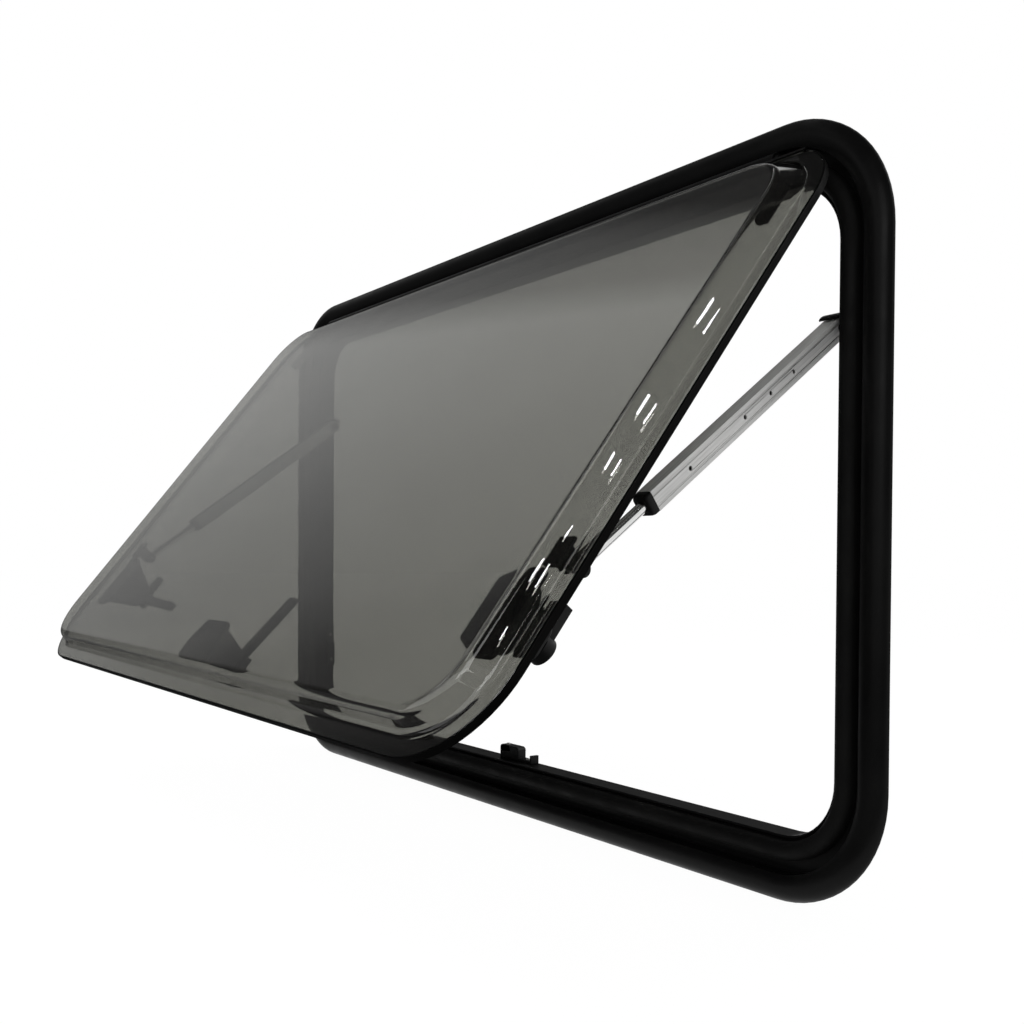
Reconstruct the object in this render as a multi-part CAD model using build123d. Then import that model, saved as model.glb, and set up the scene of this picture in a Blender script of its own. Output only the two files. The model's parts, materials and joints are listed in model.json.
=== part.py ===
from build123d import *
import os
from math import atan2, cos, degrees, hypot, radians, sin, sqrt, tan

# Top-hung caravan window, shown open. Millimetres, +Z up, +X to the right seen from outside.
# The vehicle's outer skin is the plane Y = 0, the inside of the vehicle is +Y.
# The origin is on the flange's back face, in the middle of the bottom rail.
# Sections use an inset from the frame's outer edge and a height outward from the skin (-Y).

# Wall cut-out and frame extrusion
cutout_width = 900.0
cutout_height = 550.0
flange_overlap = 18.0
frame_corner_radius = 96.0
flange_edge = 1.5
dome_rise = 9.6
dome_inner_rise = 6.6
spigot_wall = 3.0
spigot_depth = 24.0
seat_depth = 6.0
seat_wall = 2.0
seat_width = 27.5
reveal_wall = 2.0
reveal_lip = 3.0
lip_bevel = 0.6

# Bulb seal on the seat
seal_groove = 9.5
seal_width = 14.5
seal_gap = 0.5
seal_inner_rise = 3.5

# Acrylic panes of the sash
sash_gap = 4.6
trim_thickness = 1.0
trim_step = 0.4
inner_pane_thickness = 2.5
outer_pane_thickness = 3.0
sash_back_height = 5.5
sash_top_drop = 7.4
sash_top_fillet = 20.0
bulge_flange = 15.0
bulge_slope_width = 27.0
bulge_top_flange = 5.5
bulge_top_slope = 19.0
bulge_height = 16.0
bulge_foot_fillet = 10.0
bulge_shoulder_fillet = 13.5
opening_angle = 38.5

# Top hinge
bead_radius = 2.6
bead_clearance = 0.2
socket_wall = 2.0
socket_gap = 0.8
hinge_height = 8.2
hinge_neck = 1.8
hinge_slot_before = 30.0
hinge_slot_after = 32.0
hinge_plate = 1.5
hinge_plate_width = 1.2
hinge_end_clearance = 2.0
hinge_cap_length = 4.0
socket_foot = 2.0
socket_foot_width = 8.0

# Telescopic stays
stay_setback = 13.5
stay_pivot_drop = 157.0
stay_pivot_depth = 15.0
stay_latch_gap = 46.0
stay_sash_depth = 10.5
tube_width = 13.0
tube_depth = 15.0
tube_wall = 1.2
tube_groove_depth = 0.5
tube_groove_width = 1.2
tube_groove_offset = 4.0
tube_hole_radius = 1.6
tube_hole_places = (0.28, 0.41, 0.55, 0.83)
collar_length = 9.0
collar_overhang = 0.3
collar_plug = 12.0
collar_plug_clearance = 0.2
rod_radius = 4.0
rod_clearance = 0.3
rod_stop = 6.0
eye_radius = 5.0
eye_thickness = 4.0
eye_gap = 0.3
rivet_radius = 3.0
rivet_proud = 0.4
pivot_pin_radius = 3.0
pivot_pin_clearance = 0.15
pivot_head_radius = 5.0
pivot_head = 1.8
pivot_side_gap = 0.5
stay_end_gap = 5.0

# Stay brackets
jamb_plate = 3.0
jamb_plate_height = 30.0
jamb_plate_width = 14.0
hood_gap = 2.0
hood_wall = 1.6
hood_half_angle = 55.0
cheek_thickness = 3.0
cheek_margin = 0.5
sash_bracket_plate = 3.0
sash_bracket_height = 22.0

# Latches
side_latch_setback = 34.5
bottom_latch_setback = 32.0
bottom_latch_x = -14.0
latch_plate = 4.0
latch_plate_length = 67.0
latch_plate_width = 40.0
latch_plate_taper = 10.0
latch_plate_fillet = 5.0
stem_length = 56.0
stem_width = 30.0
stem_fillet = 7.0
stem_top_length = 27.0
stem_top_width = 21.0
stem_height = 29.0
latch_pin_radius = 4.0
latch_pin_clearance = 0.2
lever_gap = 0.5
hub_radius = 10.0
hub_height = 9.0
lever_length = 80.0
lever_width = 9.0
lever_thickness = 7.0
lever_rise = 9.0
lever_tip_fillet = 3.5
tongue_width = 14.0
tongue_thickness = 6.0
tongue_overlap = 4.0

# Keepers on the frame's reveal
keeper_plate = 3.0
keeper_length = 54.0
keeper_width = 10.0
keeper_back_gap = 1.0
keeper_corner_gap = 12.4
side_keeper_rise = 7.0
bottom_keeper_rise = 14.0
keeper_block_length = 32.0
keeper_block_fillet = 4.0
keeper_lip = 2.5
bottom_keeper_x = 13.0

# Centring blocks in the sash's top corners
corner_block_width = 10.0
corner_block_length = 38.0
corner_block_height = 9.0
corner_block_setback = 24.5
corner_block_drop = 12.0

# Worked-out places
frame_width = cutout_width + 2 * flange_overlap
frame_height = cutout_height + 2 * flange_overlap
frame_bottom = -flange_overlap / 2
frame_top = frame_bottom + frame_height
frame_middle = (frame_bottom + frame_top) / 2
dome_width = flange_overlap + spigot_wall
reveal_inset = dome_width + seat_width
reveal_x = frame_width / 2 - reveal_inset
reveal_bottom = frame_bottom + reveal_inset
corner_start = frame_width / 2 - frame_corner_radius

trim_inset = dome_width + sash_gap
sash_inset = trim_inset + trim_thickness
pane_split = sash_back_height + inner_pane_thickness
sash_face = pane_split + outer_pane_thickness

socket_bore = bead_radius + bead_clearance
socket_radius = socket_bore + socket_wall
hinge_inset = dome_width + socket_gap + socket_radius
hinge_z = frame_top - hinge_inset
sash_top_inset = hinge_inset + sash_top_drop
sash_radius = frame_corner_radius - sash_inset
rail_half = corner_start - hinge_end_clearance
plate_half = corner_start + sqrt(sash_radius**2 - (sash_radius - sash_top_inset + sash_inset) ** 2)
hinge_line = Axis((0, -hinge_height, hinge_z), (-1, 0, 0))

stay_x = reveal_x - stay_setback
side_latch_z = (reveal_bottom + frame_corner_radius - reveal_inset
                + keeper_length / 2 + keeper_corner_gap)
stay_sash_z = side_latch_z + stay_latch_gap


def swung(point_y, point_z):
    """A point of the closed sash, in the Y and Z of the open one."""
    angle = radians(opening_angle)
    away = point_y + hinge_height
    up = point_z - hinge_z
    return (-hinge_height + away * cos(angle) + up * sin(angle),
            hinge_z - away * sin(angle) + up * cos(angle))


def opened(solid):
    """A piece of the closed sash, swung open about the hinge line."""
    return solid.rotate(hinge_line, opening_angle)


def mirrored(solid):
    """The same piece for the window's other side."""
    return mirror(solid, about=Plane.YZ)


def slab(sketch, low, high):
    """A sketch in X and Z made a plate between two heights outward from the skin."""
    return extrude(Plane.XZ.offset(low) * sketch, high - low)


def frame_outline(inset):
    """Rounded rectangle at an inset from the frame's outer edge."""
    width = frame_width - 2 * inset
    height = frame_height - 2 * inset
    return Pos(0, frame_middle) * RectangleRounded(width, height, frame_corner_radius - inset)


def sash_outline(inset):
    """Outline at an inset from the panes' edge, cut straight at the top for the hinge."""
    high = frame_top - sash_top_inset - inset
    below = Pos(0, high - frame_height / 2) * Rectangle(frame_width, frame_height)
    outline = frame_outline(sash_inset + inset) & below
    return fillet(outline.vertices().group_by(Axis.Y)[-1], sash_top_fillet)


def bulge_outline(inset, top_inset):
    """Rounded rectangle at an inset from the panes' edge, with an inset of its own at the top."""
    width = frame_width - 2 * (sash_inset + inset)
    low = frame_bottom + sash_inset + inset
    high = frame_top - sash_top_inset - top_inset
    return Pos(0, (low + high) / 2) * RectangleRounded(width, high - low, sash_radius - inset)


def swept_ring(section):
    """A section of inset and height carried round the frame's outer edge."""
    path = (Plane.XZ * frame_outline(0)).wire()
    start = path @ 0
    along = path % 0
    outward = Vector(0, -1, 0)
    inboard = outward.cross(along)
    if inboard.dot(Vector(0, 0, frame_middle) - start) < 0:
        inboard = inboard * -1
    place = Plane(origin=start, x_dir=inboard, z_dir=inboard.cross(outward))
    return sweep(place * section, path)


def outer_frame():
    """One bent extrusion: domed flange, spigot through the wall, seal seat and reveal."""
    reveal_back = reveal_inset - reveal_wall
    web = -seat_depth - seat_wall
    dome = ThreePointArc((dome_width, dome_inner_rise), (dome_width / 2, dome_rise), (0, flange_edge))
    walls = Polyline(dome @ 1, (0, 0), (flange_overlap, 0), (flange_overlap, -spigot_depth),
                     (dome_width, -spigot_depth), (dome_width, web), (reveal_back, web),
                     (reveal_back, -spigot_depth), (reveal_inset, -spigot_depth),
                     (reveal_inset, -reveal_lip - lip_bevel), (reveal_inset - lip_bevel, -reveal_lip),
                     (reveal_back + lip_bevel, -reveal_lip), (reveal_back, -reveal_lip - lip_bevel),
                     (reveal_back, -seat_depth), (dome_width, -seat_depth), dome @ 0)
    return swept_ring(make_face([dome, walls]))


def frame_seal():
    """Rubber bulb seal on the seat, just clear of the closed sash."""
    start = dome_width + seal_groove
    crest = sash_back_height - seal_gap
    end = start + seal_width
    tip = (end, -seat_depth + seal_inner_rise)
    bulb = ThreePointArc((start, 0), (start + seal_width / 3, crest), tip)
    foot = Polyline(tip, (end, -seat_depth), (start, -seat_depth), (start, 0))
    return swept_ring(make_face([bulb, foot]))


def hinge_section(sketch, half_length):
    """A hinge section, from the hinge line down and outward, drawn out along the top rail."""
    place = Plane(origin=(-half_length, -hinge_height, hinge_z), x_dir=(0, 0, -1), z_dir=(1, 0, 0))
    return extrude(place * sketch, 2 * half_length)


def along_hinge(down, outward):
    """Local point of a hinge section, which has its second axis pointing inward."""
    return (down, -outward)


def hinge_box(down_low, down_high, height_low, height_high):
    """Rectangle of a hinge section between two distances down and two heights from the skin."""
    middle = (down_low + down_high) / 2
    height = (height_low + height_high) / 2 - hinge_height
    return Pos(*along_hinge(middle, height)) * Rectangle(down_high - down_low, height_high - height_low)


def hinge_socket_rail():
    """Frame half of the hinge: a slit socket on a foot in the frame's groove."""
    reach = 2 * socket_radius
    slot_low = radians(-hinge_slot_before)
    slot_high = radians(opening_angle + hinge_slot_after)
    slot = make_face(Polyline((0, 0), along_hinge(reach * cos(slot_low), reach * sin(slot_low)),
                              along_hinge(reach, 0),
                              along_hinge(reach * cos(slot_high), reach * sin(slot_high)), (0, 0)))
    wall_back = -socket_radius - socket_gap
    wall = hinge_box(wall_back, wall_back + socket_wall + socket_gap, -seat_depth, hinge_height)
    foot = hinge_box(wall_back, wall_back + socket_foot_width, -seat_depth, socket_foot - seat_depth)
    profile = Circle(socket_radius) + wall + foot - Circle(socket_bore) - slot
    return hinge_section(profile, rail_half)


def sash_hinge_rail():
    """Sash half of the hinge: a bead, its neck, and a plate over the panes' top edge."""
    neck = hinge_box(0, sash_top_drop, hinge_height - hinge_neck / 2, hinge_height + hinge_neck / 2)
    back = hinge_box(sash_top_drop - hinge_plate, sash_top_drop, sash_back_height, sash_face + hinge_plate)
    bead = hinge_section(Circle(bead_radius) + neck + back, rail_half)
    plate = hinge_box(sash_top_drop - hinge_plate, sash_top_drop + hinge_plate_width,
                      sash_face, sash_face + hinge_plate)
    return bead + hinge_section(plate, plate_half)


def hinge_end_cap():
    """Cap on the right end of the hinge bead and neck."""
    cap = Circle(bead_radius) + hinge_box(0, sash_top_drop, sash_back_height, sash_face)
    return Pos(rail_half + hinge_cap_length / 2, 0, 0) * hinge_section(cap, hinge_cap_length / 2)


def bulge(low, wall):
    """Sloped raised middle of the outer pane from its foot up, or the hollow a wall behind it."""
    inset = bulge_flange + wall * tan(atan2(bulge_height, bulge_slope_width) / 2)
    top_inset = bulge_top_flange + wall * tan(atan2(bulge_height, bulge_top_slope) / 2)
    foot = Plane.XZ.offset(low) * bulge_outline(inset, top_inset)
    top = Plane.XZ.offset(low + bulge_height) * bulge_outline(
        inset + bulge_slope_width, top_inset + bulge_top_slope)
    raised = loft([foot.face(), top.face()], ruled=True)
    shoulder = edges_at(raised, low + bulge_height)
    return fillet(shoulder, bulge_shoulder_fillet - wall)


def edges_at(solid, height):
    """Edges that lie flat at a height outward from the skin."""
    return [edge for edge in solid.edges() if abs(edge.center().Y + height) < 0.01
            and abs(edge.bounding_box().size.Y) < 0.01]


def outer_pane():
    """Moulded outer pane: flat rim and raised middle, one wall thickness throughout."""
    skin = slab(sash_outline(0), pane_split, sash_face) + bulge(sash_face, 0)
    rim = skin.faces().filter_by(Axis.Y).filter_by_position(Axis.Y, -sash_face - 0.01, -sash_face + 0.01)[0]
    foot = rim.inner_wires()[0].edges()
    skin = fillet(foot, bulge_foot_fillet)
    return skin - bulge(pane_split, outer_pane_thickness)


def inner_pane():
    """Flat inner pane, welded to the outer pane's rim."""
    return slab(sash_outline(0), sash_back_height, pane_split)


def edge_trim():
    """Thin black band round the panes' edge, open at the hinge."""
    ring = sash_outline(-trim_thickness) - sash_outline(0)
    band = slab(ring, sash_back_height, sash_face - trim_step)
    reach = frame_width
    hinge_cut = Pos(0, 0, frame_top - sash_top_inset + reach / 2 - frame_corner_radius / 2) * Box(
        2 * (rail_half + hinge_cap_length + hinge_end_clearance), reach, reach)
    return band - hinge_cut


def jamb_bracket():
    """Right jamb's stay bracket: plate, pivot pin with its head, and a hood over the tube's end."""
    pivot_z = frame_top - stay_pivot_drop
    plate = Pos(reveal_x - jamb_plate / 2, stay_pivot_depth, pivot_z) * Box(
        jamb_plate, jamb_plate_width, jamb_plate_height)
    across = Plane(origin=(reveal_x, stay_pivot_depth, pivot_z), x_dir=(0, 0, 1), z_dir=(-1, 0, 0))
    tube_far = reveal_x - stay_x + tube_width / 2 + pivot_side_gap
    pin = extrude(across * Circle(pivot_pin_radius), tube_far + pivot_head)
    head = extrude(across.offset(tube_far) * Circle(pivot_head_radius), pivot_head)
    inner = tube_depth / 2 + hood_gap
    reach = 2 * (inner + hood_wall)
    half = radians(hood_half_angle)
    wedge = make_face(Polyline((0, 0), (reach * cos(half), reach * sin(half)), (reach, 0),
                               (reach * cos(half), -reach * sin(half)), (0, 0)))
    arch = (Circle(inner + hood_wall) - Circle(inner)) & wedge
    hood = extrude(across * arch, tube_far)
    return fillet(plate.edges().filter_by(Axis.X), jamb_plate) + pin + head + hood


def stay_frame():
    """Plane at the right stay's frame pivot, its Z along the open stay, and the stay's lengths."""
    pivot = (stay_pivot_depth, frame_top - stay_pivot_drop)
    closed = (stay_sash_depth, stay_sash_z)
    rest = swung(*closed)
    run = (rest[0] - pivot[0], rest[1] - pivot[1])
    length = hypot(*run)
    place = Plane(origin=(stay_x, *pivot), x_dir=(1, 0, 0), z_dir=(0, run[0] / length, run[1] / length))
    return place, length, hypot(closed[0] - pivot[0], closed[1] - pivot[1])


stay_place, stay_open, stay_closed = stay_frame()
tube_length = stay_closed - eye_radius - cheek_margin - stay_end_gap - collar_length


def across_stay(sketch, distance, half_width):
    """A sketch in the plane of the stay's swing, made a solid across it."""
    side = Plane(origin=stay_place.from_local_coords((-half_width, 0, distance)),
                 x_dir=stay_place.z_dir, z_dir=stay_place.x_dir)
    return extrude(side * sketch, 2 * half_width)


def stay_tube():
    """Grooved rectangular tube, round at its pivot end, with its pivot bore and locking holes."""
    half_depth = tube_depth / 2
    start = stay_place.offset(-half_depth)
    full_length = tube_length + half_depth
    body = extrude(start * Rectangle(tube_width, tube_depth), full_length)
    cavity = extrude(start * Rectangle(tube_width - 2 * tube_wall, tube_depth - 2 * tube_wall), full_length)
    end = Circle(half_depth) + Pos(tube_length / 2, 0) * Rectangle(tube_length, tube_depth)
    groove = Rectangle(2 * tube_groove_depth, tube_groove_width)
    grooves = Sketch() + [Pos(side * tube_width / 2, row * tube_groove_offset) * groove
                          for side in (-1, 1) for row in (-1, 1)]
    tube = body & across_stay(end, 0, tube_width)
    tube = tube - cavity - extrude(start * grooves, full_length)
    tube = tube - across_stay(Circle(pivot_pin_radius + pivot_pin_clearance), 0, tube_width)
    for place in tube_hole_places:
        tube = tube - across_stay(Circle(tube_hole_radius), place * tube_length, tube_width)
    return tube


def stay_collar():
    """End collar with a plug in the tube and a bore for the rod."""
    collar = extrude(stay_place.offset(tube_length) * RectangleRounded(
        tube_width + 2 * collar_overhang, tube_depth + 2 * collar_overhang, tube_wall), collar_length)
    plug_gap = tube_wall + collar_plug_clearance
    plug = extrude(stay_place.offset(tube_length - collar_plug) * Rectangle(
        tube_width - 2 * plug_gap, tube_depth - 2 * plug_gap), collar_plug)
    bore = extrude(stay_place.offset(tube_length - collar_plug) * Circle(rod_radius + rod_clearance),
                   collar_plug + collar_length)
    return collar + plug - bore


def stay_rod():
    """Polished rod with a flat eye and its rivet at the sash end."""
    inner_end = stay_open - stay_closed + pivot_pin_radius + rod_stop
    rod = extrude(stay_place.offset(inner_end) * Circle(rod_radius), stay_open - eye_radius / 2 - inner_end)
    eye = across_stay(Circle(eye_radius), stay_open, eye_thickness / 2)
    rivet = across_stay(Circle(rivet_radius), stay_open, rod_radius + rivet_proud)
    return rod + eye + rivet


def sash_bracket():
    """Right sash bracket: a plate on the inner pane with two cheeks beside the rod's eye."""
    inside = rod_radius + rivet_proud + eye_gap
    width = 2 * (inside + cheek_thickness)
    foot = -sash_back_height + sash_bracket_plate
    plate = Pos(stay_x, foot - sash_bracket_plate / 2, stay_sash_z) * Box(
        width, sash_bracket_plate, sash_bracket_height)
    tab_radius = eye_radius + cheek_margin
    side = Plane(origin=(stay_x - width / 2, stay_sash_depth, stay_sash_z), x_dir=(0, 0, 1), z_dir=(1, 0, 0))
    rise = stay_sash_depth - foot
    shape = Circle(tab_radius) + Pos(0, rise / 2) * Rectangle(2 * tab_radius, rise)
    cheeks = extrude(side * shape, cheek_thickness) + extrude(
        side.offset(width - cheek_thickness) * shape, cheek_thickness)
    return plate + cheeks


def latch_places():
    """Planes on the closed inner pane's back: X along the pane's edge, Y away from it, Z inward."""
    right = Plane(origin=(reveal_x - side_latch_setback, -sash_back_height, side_latch_z),
                  x_dir=(0, 0, -1), z_dir=(0, 1, 0))
    bottom = Plane(origin=(bottom_latch_x, -sash_back_height, reveal_bottom + bottom_latch_setback),
                   x_dir=(-1, 0, 0), z_dir=(0, 1, 0))
    return right, bottom


hub_low = latch_plate + stem_height + lever_gap


def stem_side(width, top_width):
    """One side of a latch's stem, from its foot up."""
    lean = degrees(atan2(stem_height, (width - top_width) / 2))
    return Trapezoid(width, stem_height, lean, align=(Align.CENTER, Align.MIN))


def latch_base(place):
    """Latch body: tapered plate on the pane, stem, and the lever's pivot pin."""
    half = latch_plate_length / 2
    low = -latch_plate_width / 2
    high = latch_plate_width / 2
    outline = make_face(Polyline((-half, low), (half, low), (half, 0), (half - latch_plate_taper, high),
                                 (latch_plate_taper - half, high), (-half, 0), (-half, low)))
    outline = fillet(outline.vertices(), latch_plate_fillet)
    plate = extrude(place * outline, latch_plate)
    seat = place.from_local_coords((0, 0, latch_plate))
    along = Plane(origin=seat, x_dir=place.x_dir, z_dir=place.y_dir * -1)
    across = Plane(origin=seat, x_dir=place.y_dir, z_dir=place.x_dir)
    stem = (extrude(along * stem_side(stem_length, stem_top_length), stem_width, both=True)
            & extrude(across * stem_side(stem_width, stem_top_width), stem_length, both=True))
    corners = [edge for edge in stem.edges() if abs(edge.tangent_at(0).dot(place.z_dir)) > 0.5]
    stem = fillet(corners, stem_fillet)
    pin = extrude(place.offset(latch_plate + stem_height) * Circle(latch_pin_radius), lever_gap + hub_height)
    return plate + stem + pin


def latch_lever(place, setback, keeper_rise):
    """Turning part of a latch: hub, rising lever, and the tongue that goes behind the keeper."""
    hub = extrude(place.offset(hub_low) * Circle(hub_radius), hub_height)
    side = Plane(origin=place.from_local_coords((-lever_width / 2, 0, hub_low)),
                 x_dir=place.y_dir, z_dir=place.x_dir)
    tip = lever_length - lever_thickness / 2
    bar = make_face(Polyline((0, 0), (0, lever_thickness), (tip, lever_rise + lever_thickness),
                             (tip, lever_rise), (0, 0)))
    bar = bar + Pos(tip, lever_rise + lever_thickness / 2) * Circle(lever_thickness / 2)
    plan = Pos(0, lever_length / 2) * RectangleRounded(lever_width, lever_length, lever_tip_fillet)
    prism = extrude(place.offset(hub_low) * plan, lever_rise + lever_thickness)
    lever = extrude(side * bar, lever_width) & prism
    reach = setback - keeper_rise + tongue_overlap
    tongue = extrude(place.offset(hub_low) * (
        Pos(-reach / 2, 0) * Rectangle(reach, tongue_width)), tongue_thickness)
    bore = extrude(place.offset(hub_low) * Circle(latch_pin_radius + latch_pin_clearance), hub_height)
    return hub + lever + tongue - bore


def keeper(x, z, turn, rise):
    """Keeper on the reveal: a screwed plate, a round-shouldered block for the tongue, and an end lip."""
    depth = spigot_depth - keeper_back_gap - keeper_width / 2
    half = keeper_length / 2
    plate = Pos(0, 0, keeper_plate / 2) * Box(keeper_length, keeper_width, keeper_plate)
    block = Pos((keeper_block_length - keeper_length) / 2, 0, rise / 2) * Box(
        keeper_block_length, keeper_width, rise)
    shoulders = block.faces().sort_by(Axis.Z)[-1].edges().filter_by(Axis.Y)
    block = fillet(shoulders, keeper_block_fillet)
    lip_rise = (keeper_plate + rise) / 2
    lip = Pos(half - keeper_lip / 2, 0, lip_rise / 2) * Box(keeper_lip, keeper_width, lip_rise)
    return Pos(x, depth, z) * Rot(0, turn, 0) * (plate + block + lip)


def corner_block():
    """Right top corner's centring block on the inner pane's back."""
    top = frame_top - reveal_inset - corner_block_drop
    block = Pos(reveal_x - corner_block_setback - corner_block_width / 2,
                -sash_back_height + corner_block_height / 2, top - corner_block_length / 2) * Box(
        corner_block_width, corner_block_height, corner_block_length)
    back = block.faces().sort_by(Axis.Y)[-1]
    return fillet(back.edges(), corner_block_height / 3)


nodes = {
    "outer_frame": outer_frame(),
    "frame_seal": frame_seal(),
    "hinge_socket_rail": hinge_socket_rail(),
    "outer_pane": opened(outer_pane()),
    "inner_pane": opened(inner_pane()),
    "edge_trim": opened(edge_trim()),
    "sash_hinge_rail": opened(sash_hinge_rail()),
}

right_latch, bottom_latch = latch_places()
pairs = {
    "stay_bracket": jamb_bracket(),
    "stay_tube": stay_tube(),
    "stay_collar": stay_collar(),
    "stay_rod": stay_rod(),
    "sash_bracket": opened(sash_bracket()),
    "hinge_end_cap": opened(hinge_end_cap()),
    "corner_block": opened(corner_block()),
    "latch_base": opened(latch_base(right_latch)),
    "latch_lever": opened(latch_lever(right_latch, side_latch_setback, side_keeper_rise)),
    "keeper": keeper(reveal_x, side_latch_z, -90, side_keeper_rise),
}
for name, solid in pairs.items():
    nodes["right_" + name] = solid
    nodes["left_" + name] = mirrored(solid)

nodes["bottom_latch_base"] = opened(latch_base(bottom_latch))
nodes["bottom_latch_lever"] = opened(latch_lever(bottom_latch, bottom_latch_setback, bottom_keeper_rise))
nodes["bottom_keeper"] = keeper(bottom_keeper_x, reveal_bottom, 0, bottom_keeper_rise)

os.makedirs("parts", exist_ok=True)
for name, solid in nodes.items():
    export_step(solid, f"parts/{name}.step")

stay_angle = degrees(atan2(-stay_place.z_dir.Y, -stay_place.z_dir.Z))
closed_angle = degrees(atan2(stay_pivot_depth - stay_sash_depth, frame_top - stay_pivot_drop - stay_sash_z))
print(f"hinge line Y {-hinge_height:.3f} Z {hinge_z:.3f}, stay pivot X {stay_x:.3f} Y {stay_pivot_depth:.3f}"
      f" Z {frame_top - stay_pivot_drop:.3f}")
print(f"stay open {stay_open:.3f} closed {stay_closed:.3f}, turns {stay_angle - closed_angle:.3f} degrees,"
      f" along {tuple(round(value, 6) for value in stay_place.z_dir)}")
for name, place in (("right", right_latch), ("bottom", bottom_latch)):
    centre = swung(place.origin.Y, place.origin.Z)
    print(f"{name} latch at X {place.origin.X:.3f} Y {centre[0]:.3f} Z {centre[1]:.3f}")
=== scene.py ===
import json
import math

import bmesh
import bpy
from mathutils import Matrix, Vector


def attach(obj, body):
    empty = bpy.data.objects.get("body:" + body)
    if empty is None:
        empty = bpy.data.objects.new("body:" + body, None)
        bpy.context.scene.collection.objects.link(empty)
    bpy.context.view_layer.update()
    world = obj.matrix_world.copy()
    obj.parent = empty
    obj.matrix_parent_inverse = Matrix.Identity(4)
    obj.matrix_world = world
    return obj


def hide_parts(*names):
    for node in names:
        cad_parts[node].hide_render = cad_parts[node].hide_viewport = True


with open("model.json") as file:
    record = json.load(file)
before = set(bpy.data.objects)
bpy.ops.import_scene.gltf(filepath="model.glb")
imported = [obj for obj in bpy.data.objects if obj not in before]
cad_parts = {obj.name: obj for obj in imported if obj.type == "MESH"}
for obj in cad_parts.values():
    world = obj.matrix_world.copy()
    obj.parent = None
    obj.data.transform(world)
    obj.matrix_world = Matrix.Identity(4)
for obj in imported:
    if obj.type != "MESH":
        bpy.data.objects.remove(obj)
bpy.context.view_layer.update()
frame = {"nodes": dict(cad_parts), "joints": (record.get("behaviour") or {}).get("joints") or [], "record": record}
nodes = frame["nodes"]
joints = {joint["name"]: joint for joint in frame["joints"]}
print("frame loaded:", len(nodes), "nodes")

mm = 0.001
hinge = Vector(joints["sash_hinge"]["pos_m"])
openAngle = -joints["sash_hinge"]["range_deg"][0]
sashOpen = (Matrix.Translation(hinge) @ Matrix.Rotation(math.radians(-openAngle), 4, "X")
            @ Matrix.Translation(-hinge))  # closed sash to the open one of the photo
stayEnds = {"pivot": (15.0, 420.0), "closedEye": (10.5, 172.4)}  # y and z in millimetres
stayPivot = Vector((0, *stayEnds["pivot"])) * mm
stayAlong = (sashOpen @ (Vector((0, *stayEnds["closedEye"])) * mm) - stayPivot).normalized()

scene = bpy.context.scene
scene.view_settings.view_transform = "Standard"


# Materials

def newMaterial(name):
    material = bpy.data.materials.new(name)
    material.use_nodes = True
    tree = material.node_tree
    return material, tree, tree.nodes["Principled BSDF"]


def addNode(tree, kind, **settings):
    node = tree.nodes.new(kind)
    for key, value in settings.items():
        if key.startswith("in_"):
            node.inputs[key[3:]].default_value = value
        else:
            setattr(node, key, value)
    return node


def objectCoords(tree):
    return tree.nodes.new("ShaderNodeTexCoord").outputs["Object"]


def noiseOn(tree, vector, scale, detail=3.0, roughness=0.5):
    noise = addNode(tree, "ShaderNodeTexNoise", in_Scale=scale, in_Detail=detail, in_Roughness=roughness)
    tree.links.new(vector, noise.inputs["Vector"])
    return noise.outputs["Fac"]


def spread(tree, value, low, high, toLow, toHigh):
    ranged = addNode(tree, "ShaderNodeMapRange")
    ranged.inputs["From Min"].default_value = low
    ranged.inputs["From Max"].default_value = high
    ranged.inputs["To Min"].default_value = toLow
    ranged.inputs["To Max"].default_value = toHigh
    tree.links.new(value, ranged.inputs["Value"])
    return ranged.outputs["Result"]


def colourRamp(tree, value, stops):
    ramp = addNode(tree, "ShaderNodeValToRGB")
    while len(ramp.color_ramp.elements) < len(stops):
        ramp.color_ramp.elements.new(0.5)
    for element, (place, colour) in zip(ramp.color_ramp.elements, stops):
        element.position = place
        element.color = (*colour, 1)
    tree.links.new(value, ramp.inputs["Fac"])
    return ramp.outputs["Color"]


def bumpFrom(tree, value, strength, distance):
    bump = addNode(tree, "ShaderNodeBump", in_Strength=strength, in_Distance=distance)
    tree.links.new(value, bump.inputs["Height"])
    return bump.outputs["Normal"]


blackGrain = {"cloud": 14, "wear": 45, "bump": 0.35}  # noise scales, and strength of the fine grain
blackFinishes = {  # dark colour, light colour, roughness low and high, grain per metre, grain depth mm, specular
    "frameBlack": ((0.0030, 0.0030, 0.0031), (0.0055, 0.0055, 0.0054), 0.30, 0.42, 1400, 0.02, 0.07),
    "sealRubber": ((0.0030, 0.0030, 0.0030), (0.0065, 0.0065, 0.0062), 0.60, 0.80, 2600, 0.05, 0.10),
    "trimBlack": ((0.0010, 0.0010, 0.0010), (0.0022, 0.0022, 0.0022), 0.42, 0.60, 1800, 0.03, 0.03),
    "hingeBlack": ((0.0016, 0.0016, 0.0018), (0.0034, 0.0034, 0.0034), 0.30, 0.44, 1200, 0.02, 0.12),
    "bracketBlack": ((0.0020, 0.0020, 0.0022), (0.0042, 0.0042, 0.0042), 0.34, 0.50, 2200, 0.04, 0.14),
    "latchBlack": ((0.0022, 0.0022, 0.0024), (0.0048, 0.0048, 0.0048), 0.36, 0.54, 2400, 0.05, 0.16),
}


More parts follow.
